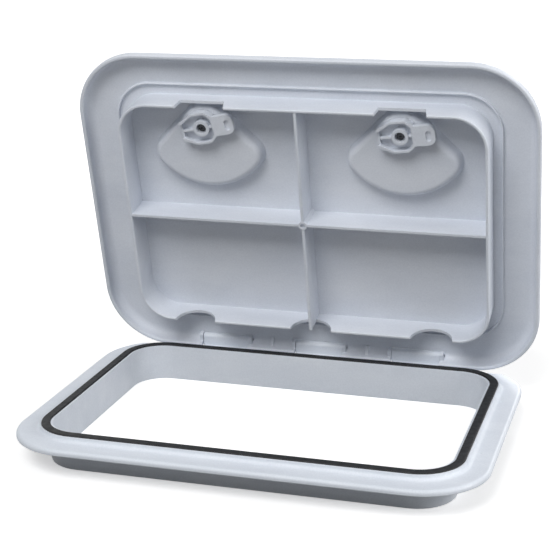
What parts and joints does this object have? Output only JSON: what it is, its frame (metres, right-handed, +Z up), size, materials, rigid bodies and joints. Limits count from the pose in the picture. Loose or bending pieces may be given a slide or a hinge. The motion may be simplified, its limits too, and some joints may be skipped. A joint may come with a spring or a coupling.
{
  "type": "access hatch",
  "caption": "Rectangular deck access hatch: flanged frame with rubber seal, hinged ribbed lid standing open, and twist latches.",
  "frame": {"origin": "middle of the deck cut-out, on the deck plane that the flange's underside rests on", "axes": "+X along the hinge, +Y toward the hinge, +Z up out of the deck; rest pose has the lid standing open"},
  "size_m": [0.44, 0.3087, 0.3365],
  "materials": {
    "frame_plastic": "satin moulded plastic",
    "lid_plastic": "satin moulded plastic",
    "latch_plastic": "satin moulded plastic",
    "washer_plastic": "natural nylon",
    "seal_rubber": "matt black rubber",
    "oring_rubber": "matt black rubber",
    "stainless": "bright stainless steel",
    "screw_steel": "blackened steel"
  },
  "bodies": {
    "frame": {"frame": "frame_plastic", "seal": "seal_rubber", "hinge_pin_left": "stainless", "hinge_pin_middle": "stainless", "hinge_pin_right": "stainless"},
    "lid": {"lid": "lid_plastic"},
    "latch_left": {"latch_handle_left": "latch_plastic", "shaft_oring_left": "oring_rubber", "latch_washer_left": "washer_plastic", "latch_arm_left": "latch_plastic", "latch_screw_left": "screw_steel"},
    "latch_right": {"latch_handle_right": "latch_plastic", "shaft_oring_right": "oring_rubber", "latch_washer_right": "washer_plastic", "latch_arm_right": "latch_plastic", "latch_screw_right": "screw_steel"}
  },
  "joints": [
    {"name": "lid_hinge", "type": "hinge", "parent": "frame", "child": "lid", "pos_m": [0, 0.151, 0.01375], "axis": [-1, 0, 0], "range_deg": [-76.5, 33.5]},
    {"name": "latch_left_turn", "type": "hinge", "parent": "lid", "child": "latch_left", "pos_m": [-0.0945, 0.0844, 0.2451], "axis": [0, -0.9724, -0.2334], "range_deg": [-12, 78]},
    {"name": "latch_right_turn", "type": "hinge", "parent": "lid", "child": "latch_right", "pos_m": [0.0945, 0.0844, 0.2451], "axis": [0, -0.9724, -0.2334], "range_deg": [-7, 83]}
  ]
}
